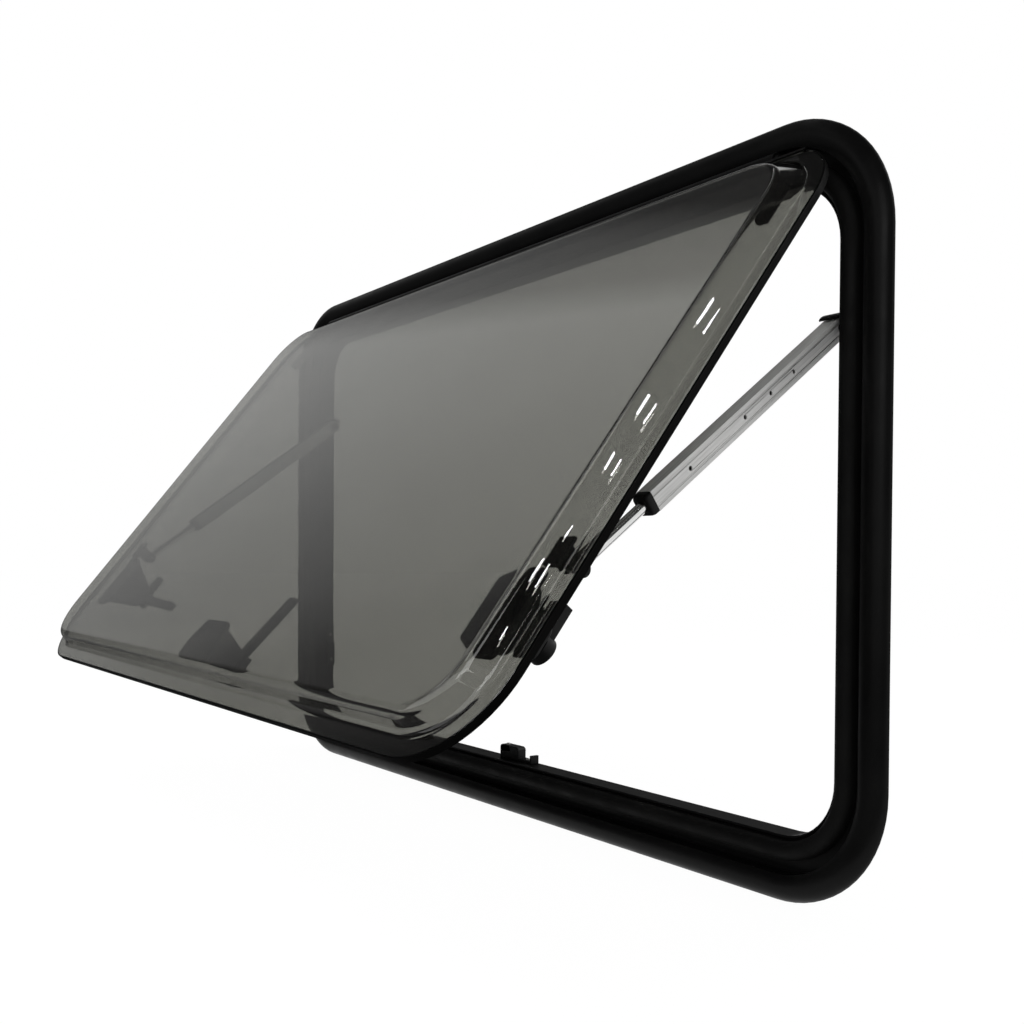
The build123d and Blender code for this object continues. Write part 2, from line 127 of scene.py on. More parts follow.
def blackMaterial(name):
    dark, light, roughLow, roughHigh, grain, depth, specular = blackFinishes[name]
    material, tree, shader = newMaterial(name)
    vector = objectCoords(tree)
    broad = noiseOn(tree, vector, blackGrain["cloud"], 4)
    fine = noiseOn(tree, vector, grain, 2, 0.6)
    tree.links.new(colourRamp(tree, broad, [(0.3, dark), (0.75, light)]), shader.inputs["Base Color"])
    tree.links.new(spread(tree, noiseOn(tree, vector, blackGrain["wear"], 3), 0.3, 0.7, roughLow, roughHigh),
                   shader.inputs["Roughness"])
    tree.links.new(bumpFrom(tree, fine, blackGrain["bump"], depth * mm), shader.inputs["Normal"])
    shader.inputs["Specular IOR Level"].default_value = specular
    return material


acrylicLook = {"tint": (0.415, 0.415, 0.39), "darker": 0.96, "smear": 9, "ior": 1.49, "clear": 0.002,
               "haze": 0.006, "hazeScale": 60, "wave": 0.05, "waveScale": 18}


def acrylicMaterial(name):
    a = acrylicLook
    material, tree, shader = newMaterial(name)
    vector = objectCoords(tree)
    smear = noiseOn(tree, vector, a["smear"], 5, 0.6)
    darker = tuple(value * a["darker"] for value in a["tint"])
    tree.links.new(colourRamp(tree, smear, [(0.3, darker), (0.7, a["tint"])]), shader.inputs["Base Color"])
    tree.links.new(spread(tree, noiseOn(tree, vector, a["hazeScale"], 4), 0.3, 0.75, a["clear"], a["haze"]),
                   shader.inputs["Roughness"])
    tree.links.new(bumpFrom(tree, noiseOn(tree, vector, a["waveScale"], 1), a["wave"], 1.0 * mm),
                   shader.inputs["Normal"])
    shader.inputs["IOR"].default_value = a["ior"]
    shader.inputs["Transmission Weight"].default_value = 1.0
    return material


staySlope = math.atan2(-stayAlong.z, -stayAlong.y)  # of the open stay below the level
metalGrain = {"stretch": 60, "cloud": 70, "bump": 0.3}
metalFinishes = {  # dark, light, roughness low and high, draw marks per metre across, depth mm, metal share
    "stayAluminium": ((0.48, 0.48, 0.47), (0.66, 0.66, 0.65), 0.40, 0.55, 700, 0.012, 0.30),
    "rodSteel": ((0.62, 0.62, 0.615), (0.76, 0.76, 0.75), 0.12, 0.22, 1200, 0.006, 1.0),
    "screwSteel": ((0.34, 0.34, 0.33), (0.48, 0.48, 0.47), 0.26, 0.40, 900, 0.008, 1.0),
}


def drawnMetal(name):
    dark, light, roughLow, roughHigh, marks, depth, metal = metalFinishes[name]
    material, tree, shader = newMaterial(name)
    along = addNode(tree, "ShaderNodeMapping", vector_type="TEXTURE", in_Rotation=(staySlope, 0, 0),
                    in_Scale=(1, metalGrain["stretch"], 1))  # turned first, then drawn out
    tree.links.new(objectCoords(tree), along.inputs["Vector"])
    streaks = noiseOn(tree, along.outputs["Vector"], marks, 3, 0.55)
    tree.links.new(colourRamp(tree, streaks, [(0.25, dark), (0.7, light)]), shader.inputs["Base Color"])
    cloud = noiseOn(tree, objectCoords(tree), metalGrain["cloud"], 4)
    tree.links.new(spread(tree, cloud, 0.3, 0.7, roughLow, roughHigh), shader.inputs["Roughness"])
    tree.links.new(bumpFrom(tree, streaks, metalGrain["bump"], depth * mm), shader.inputs["Normal"])
    shader.inputs["Metallic"].default_value = metal
    return material


finishes = {name: blackMaterial(name) for name in blackFinishes}
finishes.update({name: drawnMetal(name) for name in metalFinishes})
finishes.update({name: acrylicMaterial(name) for name in ("outerAcrylic", "innerAcrylic")})
slotFinish = {
    "frame_black": "frameBlack", "seal_rubber": "sealRubber", "smoke_acrylic": "outerAcrylic",
    "trim_black": "trimBlack", "hinge_black": "hingeBlack", "bracket_black": "bracketBlack",
    "latch_black": "latchBlack", "stay_aluminium": "stayAluminium", "rod_steel": "rodSteel",
}
print("materials made:", len(finishes))


# Smooth shading and fine bevels on the CAD nodes, with their meshes left as they are

skinShape = {"smoothBelow": 28, "merge": 1e-6, "bevelAbove": 40, "bevelSegments": 2}  # degrees and metres


def smoothTree():
    tree = bpy.data.node_groups.new("smoothSkin", "GeometryNodeTree")
    tree.interface.new_socket("Geometry", in_out="INPUT", socket_type="NodeSocketGeometry")
    angle = tree.interface.new_socket("Sharp Angle", in_out="INPUT", socket_type="NodeSocketFloat")
    angle.default_value = math.radians(skinShape["smoothBelow"])
    tree.interface.new_socket("Geometry", in_out="OUTPUT", socket_type="NodeSocketGeometry")
    start = tree.nodes.new("NodeGroupInput")
    end = tree.nodes.new("NodeGroupOutput")
    merge = addNode(tree, "GeometryNodeMergeByDistance", in_Distance=skinShape["merge"])
    bend = tree.nodes.new("GeometryNodeInputMeshEdgeAngle")
    sharp = addNode(tree, "FunctionNodeCompare", data_type="FLOAT", operation="LESS_EQUAL")
    faces = addNode(tree, "GeometryNodeSetShadeSmooth", domain="FACE")
    edges = addNode(tree, "GeometryNodeSetShadeSmooth", domain="EDGE")
    link = tree.links.new
    link(start.outputs["Geometry"], merge.inputs["Geometry"])
    link(bend.outputs["Unsigned Angle"], sharp.inputs[0])
    link(start.outputs["Sharp Angle"], sharp.inputs[1])
    link(merge.outputs["Geometry"], faces.inputs["Geometry"])
    link(faces.outputs["Geometry"], edges.inputs["Geometry"])
    link(sharp.outputs["Result"], edges.inputs["Shade Smooth"])
    link(edges.outputs["Geometry"], end.inputs["Geometry"])
    return tree


smoothSkin = smoothTree()
slotOf = {row["node"]: row["material_slot"] for row in frame["record"]["subparts"]}
edgeBevels = {"keeper": 0.5, "sash_bracket": 0.4, "stay_bracket": 0.35, "latch_base": 0.7, "latch_lever": 0.6,
              "corner_block": 0.4, "stay_tube": 0.3}  # millimetres, by the end of the node's name
for name, node in nodes.items():
    node.data.materials.clear()
    node.data.materials.append(finishes[slotFinish[slotOf[name]]])
    skin = node.modifiers.new("smoothSkin", "NODES")
    skin.node_group = smoothSkin
    for ending, width in edgeBevels.items():
        if name.endswith(ending):
            bevel = node.modifiers.new("edgeBevel", "BEVEL")
            bevel.width = width * mm
            bevel.segments = skinShape["bevelSegments"]
            bevel.limit_method = "ANGLE"
            bevel.angle_limit = math.radians(skinShape["bevelAbove"])
            bevel.use_clamp_overlap = False
            bevel.harden_normals = True
print("nodes dressed")


# Panes as fine smooth meshes

sashShape = {"halfWidth": 441.4, "low": 17.6, "high": 543.0, "corner": 69.4, "frameCorner": 481.0,
             "cornerSteps": 32, "topRound": 0.9}
paneShape = {"back": 5.5, "split": 8.0, "face": 11.0, "flange": 15.0, "slope": 10.0, "lowSlope": 5.0,
             "topFlange": 5.5, "topSlope": 19.0, "rise": 16.0, "footRadius": 5.0, "shoulderRadius": 8.0,
             "edgeBevel": 0.5, "backBevel": 0.4, "weldGap": 0.02, "support": 0.5, "run": 50, "arcSteps": 10}
quarters = ((1, 1), (-1, 1), (-1, -1), (1, -1))


def edgeLoop(inset, height):
    # the panes' outline: corners concentric with the frame's, cut straight at the top
    s = sashShape
    radius = s["corner"] - inset
    loop = []
    for quarter, (sx, sz) in enumerate(quarters):
        cx = sx * (s["halfWidth"] - s["corner"])
        cz = s["frameCorner"] if sz > 0 else s["low"] + s["corner"]
        for step in range(s["cornerSteps"] + 1):
            angle = math.pi / 2 * (quarter + step / s["cornerSteps"])
            reach = radius
            if sz > 0 and math.sin(angle) > 0.1:  # the side itself is never cut
                cut = (s["high"] - inset - cz) / math.sin(angle)
                reach = (radius + cut - math.hypot(radius - cut, s["topRound"])) / 2
            loop.append((cx + reach * math.cos(angle), cz + reach * math.sin(angle), height))
    return loop


def bulgeLoop(side, top, bottom):
    # one ring of the raised middle, from its (inset, height) at the sides, top and bottom
    s = sashShape
    radius = s["corner"] - side[0]
    loop = []
    for quarter, (sx, sz) in enumerate(quarters):
        cx = sx * (s["halfWidth"] - s["corner"])
        cz = (s["high"] - top[0] - radius) if sz > 0 else s["low"] + bottom[0] + radius
        end = top if sz > 0 else bottom
        for step in range(s["cornerSteps"] + 1):
            share = step / s["cornerSteps"]
            angle = math.pi / 2 * (quarter + share)
            height = side[1] + (end[1] - side[1]) * (share if sx == sz else 1 - share)
            loop.append((cx + radius * math.cos(angle), cz + radius * math.sin(angle), height))
    return loop


def bendArc(corner, before, after, radius, steps):
    # rounded corner between two runs of a section
    toBefore = (Vector(before) - Vector(corner)).normalized()
    toAfter = (Vector(after) - Vector(corner)).normalized()
    half = toBefore.angle(toAfter) / 2
    middle = Vector(corner) + (toBefore + toAfter).normalized() * (radius / math.sin(half))
    start = Vector(corner) + toBefore * (radius / math.tan(half)) - middle
    end = Vector(corner) + toAfter * (radius / math.tan(half)) - middle
    turn = start.angle_signed(end)
    points = []
    for step in range(steps + 1):
        spun = start.copy()
        spun.rotate(Matrix.Rotation(-turn * step / steps, 2))
        points.append(tuple(middle + spun))
    return points


def meshObject(name, mesh):
    data = bpy.data.meshes.new(name)
    mesh.to_mesh(data)
    mesh.free()
    piece = bpy.data.objects.new(name, data)
    scene.collection.objects.link(piece)
    return piece


def ringMesh(name, rings, capped=False):
    # rings of (x, z, height toward minus y) points in millimetres, joined one to the next
    weld = 1e-7
    mesh = bmesh.new()
    loops = [[mesh.verts.new((x * mm, -height * mm, z * mm)) for x, z, height in ring] for ring in rings]
    count = len(loops[0])
    for inner, outer in zip(loops, loops[1:]):
        for index in range(count):
            after = (index + 1) % count
            mesh.faces.new((inner[index], inner[after], outer[after], outer[index]))
    if capped:
        mesh.faces.new(loops[0])
        mesh.faces.new(loops[-1])
    bmesh.ops.remove_doubles(mesh, verts=mesh.verts, dist=weld)
    bmesh.ops.recalc_face_normals(mesh, faces=mesh.faces)
    return meshObject(name, mesh)


def finishPiece(piece, finish, body, place=None):
    sharpAngle = 35
    if place is not None:
        piece.data.transform(place)
    piece.data.materials.clear()
    piece.data.materials.append(finishes[finish])
    piece.data.shade_smooth()
    piece.data.set_sharp_from_angle(angle=math.radians(sharpAngle))
    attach(piece, body)


def bulgeSection(flange, slope, low, wall):
    # (inset, height) points of the raised middle's wall, outer skin or the hollow a wall behind it
    s = paneShape
    shift = wall * math.tan(math.atan2(s["rise"], slope) / 2)
    foot, shoulder = (flange + shift, low), (flange + slope + shift, low + s["rise"])
    rise = (Vector(shoulder) - Vector(foot)).normalized()
    before, after = (foot[0] - s["run"], low), (shoulder[0] + s["run"], shoulder[1])
    points = bendArc(foot, before, shoulder, s["footRadius"] + wall, s["arcSteps"])
    points += bendArc(shoulder, foot, after, s["shoulderRadius"] - wall, s["arcSteps"])
    middle = s["arcSteps"] + 1
    ease = s["support"]
    points.insert(middle, tuple(Vector(points[middle]) - rise * ease))
    points.insert(middle, tuple(Vector(points[middle - 1]) + rise * ease))
    points.insert(0, (points[0][0] - ease, low))
    points.append((points[-1][0] + 2 * ease, shoulder[1]))
    return points


def bulgeRings(low, wall):
    s = paneShape
    sides = bulgeSection(s["flange"], s["slope"], low, wall)
    tops = bulgeSection(s["topFlange"], s["topSlope"], low, wall)
    bottoms = bulgeSection(s["flange"], s["lowSlope"], low, wall)
    return [bulgeLoop(*points) for points in zip(sides, tops, bottoms)]


def outerPane():
    s = paneShape
    outer = [edgeLoop(0, s["face"] - s["edgeBevel"]), edgeLoop(s["edgeBevel"], s["face"])]
    outer += bulgeRings(s["face"], 0)
    inner = [edgeLoop(0, s["split"])] + bulgeRings(s["split"], s["face"] - s["split"])
    piece = ringMesh("outerPane", outer[::-1] + inner, capped=True)
    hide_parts("outer_pane")
    finishPiece(piece, "outerAcrylic", "sash", sashOpen)


def innerPane():
    s = paneShape
    rings = [edgeLoop(s["backBevel"], s["back"]), edgeLoop(0, s["back"] + s["backBevel"]),
             edgeLoop(0, s["split"] - s["weldGap"])]
    piece = ringMesh("innerPane", rings, capped=True)
    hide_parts("inner_pane")
    finishPiece(piece, "innerAcrylic", "sash", sashOpen)


outerPane()
innerPane()
print("panes made")


# Stay collars with a rounded nose

collarShape = {"start": 228.14, "length": 6.5, "width": 13.6, "depth": 15.6, "corner": 2.0, "nose": 4.5,
               "noseInset": 1.8, "bore": 4.3, "steps": 8}


def collarRing(distance, width, depth, corner):
    # rounded rectangle across the stay, at a distance along it
    ring = []
    for quarter, (sx, sz) in enumerate(quarters):
        for step in range(collarShape["steps"] + 1):
            angle = math.pi / 2 * (quarter + step / collarShape["steps"])
            ring.append((sx * (width / 2 - corner) + corner * math.cos(angle),
                         sz * (depth / 2 - corner) + corner * math.sin(angle), -distance))
    return ring


def stayCollar(side):
    c = collarShape
    rings = [collarRing(0, c["width"], c["depth"], c["corner"])]
    for step in range(c["steps"] + 1):
        angle = math.pi / 2 * step / c["steps"]
        inset = c["noseInset"] * (1 - math.cos(angle))
        rings.append(collarRing(c["length"] - c["nose"] * (1 - math.sin(angle)), c["width"] - 2 * inset,
                                c["depth"] - 2 * inset, c["corner"] + inset / 2))
    rings += [collarRing(distance, 2 * c["bore"], 2 * c["bore"], c["bore"]) for distance in (c["length"], 0)]
    node = f"{side}_stay_collar"
    piece = ringMesh(f"{side}Collar", rings + rings[:1])
    box = nodes[node].bound_box
    middle = sum(corner[0] for corner in box) / len(box)
    foot = stayPivot + stayAlong * c["start"] * mm + Vector((middle, 0, 0))
    y, z = stayAlong.y, stayAlong.z
    place = Matrix.Translation(foot) @ Matrix(((1, 0, 0), (0, y, -z), (0, z, y))).to_4x4()
    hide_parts(node)
    finishPiece(piece, slotFinish[slotOf[node]], f"{side}_stay", place)


for side in ("left", "right"):
    stayCollar(side)
print("collars made")


# Screws, rivets, caps and grips, set out by Geometry Nodes

def setOutTree():
    tree = bpy.data.node_groups.new("setOut", "GeometryNodeTree")
    for name, kind in (("Geometry", "Geometry"), ("Shape", "Object"), ("Finish", "Material"), ("Spin", "Float"),
                       ("Seed", "Int")):
        tree.interface.new_socket(name, in_out="INPUT", socket_type=f"NodeSocket{kind}")
    tree.interface.new_socket("Geometry", in_out="OUTPUT", socket_type="NodeSocketGeometry")
    start = tree.nodes.new("NodeGroupInput")
    end = tree.nodes.new("NodeGroupOutput")
    shape = tree.nodes.new("GeometryNodeObjectInfo")
    facing = addNode(tree, "GeometryNodeInputNamedAttribute", data_type="FLOAT_VECTOR", in_Name="facing")
    along = addNode(tree, "GeometryNodeInputNamedAttribute", data_type="FLOAT_VECTOR", in_Name="along")
    upright = addNode(tree, "FunctionNodeAxesToRotation", primary_axis="Z", secondary_axis="X")
    copies = tree.nodes.new("GeometryNodeInstanceOnPoints")
    chance = addNode(tree, "FunctionNodeRandomValue", data_type="FLOAT")
    angle = tree.nodes.new("ShaderNodeCombineXYZ")
    spin = tree.nodes.new("GeometryNodeRotateInstances")
    realize = tree.nodes.new("GeometryNodeRealizeInstances")
    finish = tree.nodes.new("GeometryNodeSetMaterial")
    most = next(socket for socket in chance.inputs if socket.enabled and socket.name == "Max")
    value = next(socket for socket in chance.outputs if socket.enabled)
    link = tree.links.new
    link(start.outputs["Shape"], shape.inputs["Object"])
    link(facing.outputs["Attribute"], upright.inputs["Primary Axis"])
    link(along.outputs["Attribute"], upright.inputs["Secondary Axis"])
    link(start.outputs["Geometry"], copies.inputs["Points"])
    link(shape.outputs["Geometry"], copies.inputs["Instance"])
    link(upright.outputs["Rotation"], copies.inputs["Rotation"])
    link(start.outputs["Spin"], most)
    link(start.outputs["Seed"], chance.inputs["Seed"])
    link(value, angle.inputs["Z"])
    link(copies.outputs["Instances"], spin.inputs["Instances"])
    link(angle.outputs["Vector"], spin.inputs["Rotation"])
    link(spin.outputs["Instances"], realize.inputs["Geometry"])
    link(realize.outputs["Geometry"], finish.inputs["Geometry"])
    link(start.outputs["Finish"], finish.inputs["Material"])
    link(finish.outputs["Geometry"], end.inputs["Geometry"])
    return tree


setOutGroup = setOutTree()


def setOut(name, shape, rows, finish, body, spin=0.0, place=None):
    # copies of a shape at rows of (point in millimetres, facing, along)
    data = bpy.data.meshes.new(name)
    data.from_pydata([[value * mm for value in point] for point, facing, along in rows], [], [])
    for column, key in ((1, "facing"), (2, "along")):
        values = data.attributes.new(key, "FLOAT_VECTOR", "POINT")
        values.data.foreach_set("vector", [value for row in rows for value in row[column]])
    piece = bpy.data.objects.new(name, data)
    scene.collection.objects.link(piece)
    modifier = piece.modifiers.new("setOut", "NODES")
    modifier.node_group = setOutGroup
    settings = {"Shape": shape, "Finish": finishes[finish], "Spin": spin, "Seed": 7}
    for socket in setOutGroup.interface.items_tree:
        if socket.in_out == "INPUT" and socket.name in settings:
            modifier[socket.identifier] = settings[socket.name]
    solid = piece.evaluated_get(bpy.context.evaluated_depsgraph_get())
    made = bpy.data.meshes.new_from_object(solid)
    piece.modifiers.remove(modifier)
    piece.data = made
    finishPiece(piece, finish, body, place)


def turned(name, profile, sides):
    # a turned shape from (radius, height) points in millimetres, top first
    mesh = bmesh.new()
    top = mesh.verts.new((0, 0, profile[0][1] * mm))
    rings = []
    for radius, height in profile[1:]:
        turns = [2 * math.pi * side / sides for side in range(sides)]
        rings.append([mesh.verts.new((radius * mm * math.cos(turn), radius * mm * math.sin(turn), height * mm))
                      for turn in turns])
    for side in range(sides):
        after = (side + 1) % sides
        mesh.faces.new((top, rings[0][side], rings[0][after]))
        for upper, lower in zip(rings, rings[1:]):
            mesh.faces.new((upper[side], lower[side], lower[after], upper[after]))
    mesh.faces.new(rings[-1][::-1])
    return meshObject(name, mesh)


screwShape = {"radius": 2.1, "height": 1.2, "round": 0.5, "crossLength": 2.4, "crossWidth": 0.55, "crossDepth": 0.7,
              "sunk": 0.2, "sides": 24}


def screwHead():
    s = screwShape
    profile = [(0, s["height"]), (s["radius"] - 2 * s["round"], s["height"]),
               (s["radius"] - s["round"] / 2, s["height"] - s["round"] / 3),
               (s["radius"], s["height"] - s["round"]), (s["radius"], -s["sunk"])]
    head = turned("screwHead", profile, s["sides"])
    mesh = bmesh.new()
    for long, wide in ((s["crossLength"], s["crossWidth"]), (s["crossWidth"], s["crossLength"])):
        size = Matrix.Diagonal((long * mm, wide * mm, 2 * s["crossDepth"] * mm, 1))
        bmesh.ops.create_cube(mesh, size=1, matrix=Matrix.Translation((0, 0, s["height"] * mm)) @ size)
    cutter = meshObject("crossCutter", mesh)
    cross = head.modifiers.new("cross", "BOOLEAN")
    cross.operation = "DIFFERENCE"
    cross.use_self = True
    cross.object = cutter
    made = bpy.data.meshes.new_from_object(head.evaluated_get(bpy.context.evaluated_depsgraph_get()))
    head.modifiers.remove(cross)
    head.data = made
    bpy.data.objects.remove(cutter)
    return head


rivetShape = {"profile": [(0, 1.1), (0.9, 1.02), (1.7, 0.75), (2.3, 0.35), (2.6, -0.1)], "sides": 20}
capShape = {"profile": [(0, 0.45), (2.0, 0.45), (2.5, 0.85), (7.4, 0.85), (8.2, 0.55), (8.5, 0.1), (8.5, -0.2)],
            "sides": 40}
ribShape = {"radius": 0.75, "length": 6.4, "sides": 12}


def gripRib():
    s = ribShape
    mesh = bmesh.new()
    lying = Matrix.Rotation(math.pi / 2, 4, "Y")
    bmesh.ops.create_cone(mesh, cap_ends=True, segments=s["sides"], radius1=s["radius"] * mm,
                          radius2=s["radius"] * mm, depth=s["length"] * mm, matrix=lying)
    return meshObject("gripRib", mesh)


inward, upward, rightward = (0, 1, 0), (0, 0, 1), (1, 0, 0)
frameScrewPlaces = {"keeperPlateX": 416.5, "keeperBlockX": 412.5, "keeperY": 18.0, "keeperPlateZ": 141.4,
                    "keeperBlockZ": 108.4, "bottomKeeper": ((28.0, 42.5), (-6.0, 53.5)), "bracketX": 416.5,
                    "bracketY": 15.0, "bracketZ": (409.0, 432.9)}
latchPlaces = {"sideX": 385.0, "sideZ": 126.4, "bottomX": -14.0, "bottomZ": 71.5, "plateTop": -1.5,
               "screwAlong": 30.6, "screwOff": 8.0, "capDepth": 37.0, "leverTop": 35.0, "leverRise": 9.0,
               "leverLength": 76.5, "ribs": (50.0, 54.0, 58.0, 62.0, 66.0, 70.0)}
bracketPlaces = {"x": 406.0, "z": 172.4, "plateTop": -2.5, "screwOff": 8.2, "rivetOff": 7.7, "rivetY": 10.5}


def frameScrews(head):
    s = frameScrewPlaces
    rows = []
    for side in (1, -1):
        facing = (-side, 0, 0)
        rows.append(((side * s["keeperPlateX"], s["keeperY"], s["keeperPlateZ"]), facing, upward))
        rows.append(((side * s["keeperBlockX"], s["keeperY"], s["keeperBlockZ"]), facing, upward))
        rows += [((side * s["bracketX"], s["bracketY"], z), facing, upward) for z in s["bracketZ"]]
    rows += [((x, s["keeperY"], z), upward, rightward) for x, z in s["bottomKeeper"]]
    setOut("frameScrews", head, rows, "screwSteel", "frame", math.pi)


def sashScrews(head):
    s, b = latchPlaces, bracketPlaces
    rows = []
    for step in (s["screwAlong"], -s["screwAlong"]):
        for side in (1, -1):
            rows.append(((side * (s["sideX"] + s["screwOff"]), s["plateTop"], s["sideZ"] + step), inward, upward))
        rows.append(((s["bottomX"] + step, s["plateTop"], s["bottomZ"] - s["screwOff"]), inward, upward))
    for step in (b["screwOff"], -b["screwOff"]):
        rows += [((side * b["x"], b["plateTop"], b["z"] + step), inward, upward) for side in (1, -1)]
    setOut("sashScrews", head, rows, "screwSteel", "sash", math.pi, sashOpen)


def sashRivets(head):
    b = bracketPlaces
    rows = [((side * (b["x"] + face * b["rivetOff"]), b["rivetY"], b["z"]), (side * face, 0, 0), upward)
            for side in (1, -1) for face in (1, -1)]
    setOut("sashRivets", head, rows, "screwSteel", "sash", 0.0, sashOpen)


def leverFittings(cap, rib):
    s = latchPlaces
    lean = math.atan2(s["leverRise"], s["leverLength"])
    levers = {"right": ((s["sideX"], s["sideZ"]), (-1, 0)), "left": ((-s["sideX"], s["sideZ"]), (1, 0)),
              "bottom": ((s["bottomX"], s["bottomZ"]), (0, 1))}
    for side, ((x, z), (alongX, alongZ)) in levers.items():
        body = f"{side}_lever"
        setOut(f"{side}HubCap", cap, [((x, s["capDepth"], z), inward, upward)], "latchBlack", body,
               0.0, sashOpen)
        facing = (-math.sin(lean) * alongX, math.cos(lean), -math.sin(lean) * alongZ)
        rows = [((x + reach * alongX, s["leverTop"] + reach * math.tan(lean), z + reach * alongZ), facing,
                 (alongZ, 0, -alongX)) for reach in s["ribs"]]
        setOut(f"{side}GripRibs", rib, rows, "latchBlack", body, 0.0, sashOpen)


shapes = {"screw": screwHead(), "rivet": turned("rivetHead", **rivetShape), "cap": turned("hubCap", **capShape),
          "rib": gripRib()}
frameScrews(shapes["screw"])
sashScrews(shapes["screw"])
sashRivets(shapes["rivet"])
leverFittings(shapes["cap"], shapes["rib"])
for shape in shapes.values():
    bpy.data.objects.remove(shape)
print("fasteners and grips made")


# Studio

studio = {"floorZ": -9.0 * mm, "floorSize": 14.0, "white": 1.0, "fill": 0.55, "floorPale": (0.86, 0.88),
          "floorSpeckle": 30, "floorGlow": 1.02, "floorShare": 0.96}  # the share left over keeps the shadow


def seenRays(tree):
    # 1 for rays from the camera, from a mirroring surface or through the panes
    path = tree.nodes.new("ShaderNodeLightPath")
    seen = path.outputs["Is Camera Ray"]
    for kind in ("Is Glossy Ray", "Is Transmission Ray"):
        either = addNode(tree, "ShaderNodeMath", operation="MAXIMUM")
        tree.links.new(seen, either.inputs[0])
        tree.links.new(path.outputs[kind], either.inputs[1])
        seen = either.outputs[0]
    return seen


def mixShaders(tree, share, first, second, output):
    mix = tree.nodes.new("ShaderNodeMixShader")
    tree.links.new(share, mix.inputs["Fac"])
    tree.links.new(first.outputs[0], mix.inputs[1])
    tree.links.new(second.outputs[0], mix.inputs[2])
    tree.links.new(mix.outputs[0], output.inputs["Surface"])


def studioWorld():
    world = bpy.data.worlds.new("studioWorld")
    scene.world = world
    world.use_nodes = True
    tree = world.node_tree
    tree.nodes.clear()
    white = (1, 1, 1, 1)
    shown = addNode(tree, "ShaderNodeBackground", in_Color=white, in_Strength=studio["white"])
    light = addNode(tree, "ShaderNodeBackground", in_Color=white, in_Strength=studio["fill"])
    mixShaders(tree, seenRays(tree), light, shown, tree.nodes.new("ShaderNodeOutputWorld"))


def studioFloor():
    size = studio["floorSize"]
    data = bpy.data.meshes.new("studioFloor")
    corners = [(-size, -size), (size, -size), (size, size), (-size, size)]
    data.from_pydata([(x, y, studio["floorZ"]) for x, y in corners], [], [(0, 1, 2, 3)])
    floor = bpy.data.objects.new("studioFloor", data)
    scene.collection.objects.link(floor)
    material, tree, shader = newMaterial("paleFloor")
    speckle = noiseOn(tree, objectCoords(tree), studio["floorSpeckle"], 2)
    paler, palest = ((value,) * 3 for value in studio["floorPale"])
    tree.links.new(colourRamp(tree, speckle, [(0.3, paler), (0.7, palest)]), shader.inputs["Base Color"])
    shader.inputs["Roughness"].default_value = 0.9
    shader.inputs["Specular IOR Level"].default_value = 0.1
    glow = addNode(tree, "ShaderNodeEmission", in_Color=(1, 1, 1, 1), in_Strength=studio["floorGlow"])
    part = addNode(tree, "ShaderNodeMath", operation="MULTIPLY")
    part.inputs[1].default_value = studio["floorShare"]
    tree.links.new(seenRays(tree), part.inputs[0])
    mixShaders(tree, part.outputs[0], shader, glow, tree.nodes["Material Output"])
    data.materials.append(material)


reflectionCards = {  # what the panes mirror: corners, and stops of (place along Y, light)
    "sideCard": {"corners": ((-3, -5, 0.6), (-3, 0, 0.6), (-3, 5, 3.4), (-3, 5, 7), (-3, -5, 7)),
                 "stops": ((-1.6, 0.05), (-1.0, 0.15), (-0.75, 0.29), (-0.4, 0.40), (-0.1, 0.50), (0.18, 0.56),
                           (0.32, 0.28), (0.52, 0.20), (0.66, 0.08), (1.4, 0.06), (2.6, 0.45))},
    "lowCard": {"corners": ((-3, -5, -0.5), (-3, 5, -0.5), (-3, 5, 3.4), (-3, 0, 0.6), (-3, -5, 0.6)),
                "stops": ((-5.0, 0.10), (5.0, 0.10))},
    "ceilingCard": {"corners": ((-1.3, -4, 2.75), (6, -4, 2.75), (6, 1.5, 2.75), (-1.3, 1.5, 2.75)),
                    "stops": ((-4.0, 0.03), (1.5, 0.03))},
    "floorCard": {"corners": ((-3.5, -3, -0.004), (6, -3, -0.004), (6, -0.06, -0.004), (-3.5, -0.06, -0.004)),
                  "stops": ((-3.0, 0.12), (-0.06, 0.12))},
    "rightCard": {"corners": ((6, -4, 0), (6, 1.5, 0), (6, 1.5, 2.75), (6, -4, 2.75)),
                  "stops": ((-4.0, 0.20), (1.5, 0.20))},
    "rimStrip": {"corners": ((-0.72, -4, 2.72), (-0.57, -4, 2.72), (-0.57, 0.8, 2.72), (-0.72, 0.8, 2.72)),
                 "stops": ((-4.0, 1.0), (0.8, 1.0))},
}


